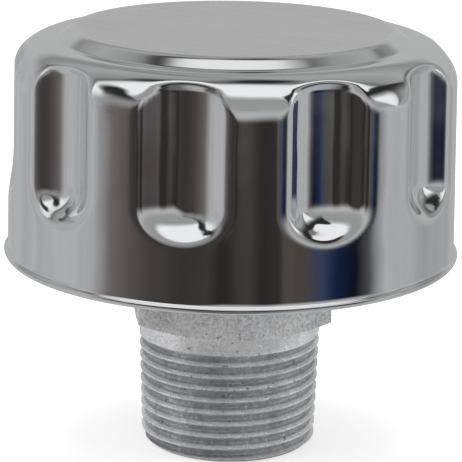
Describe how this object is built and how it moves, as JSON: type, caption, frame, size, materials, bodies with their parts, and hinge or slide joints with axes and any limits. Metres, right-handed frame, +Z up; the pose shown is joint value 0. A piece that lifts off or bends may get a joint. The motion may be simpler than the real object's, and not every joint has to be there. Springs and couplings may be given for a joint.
{
  "type": "hydraulic filler breather",
  "caption": "Screw-in breather cap for a hydraulic reservoir: a fluted drawn cap with a rolled rim over a pleated filter cartridge, on a hexagon nipple with a tapered pipe thread.",
  "frame": {"origin": "centre of the nipple's lower end face", "axes": "+Z up along the thread's axis, from the threaded end towards the cap's top disc; +X through the middle of one flute and square to one flat of the hexagon"},
  "size_m": [0.0662, 0.0662, 0.0618],
  "materials": {
    "chrome_plate": "bright nickel-chrome plate on drawn sheet steel",
    "zinc_plate": "dull clear zinc plate",
    "spring_steel": "dark oiled spring wire",
    "seal_rubber": "black nitrile rubber",
    "filter_paper": "resin-cured filter paper"
  },
  "bodies": {
    "root": {"cap_shell": "chrome_plate", "filter_pan": "zinc_plate", "hex_nipple": "zinc_plate", "seal_washer": "seal_rubber", "backing_washer": "zinc_plate", "splash_baffle": "zinc_plate", "element_gasket": "seal_rubber", "lower_end_cap": "zinc_plate", "core_tube": "zinc_plate", "pleated_media": "filter_paper", "upper_end_cap": "zinc_plate", "hold_down_spring": "spring_steel"}
  },
  "joints": []
}
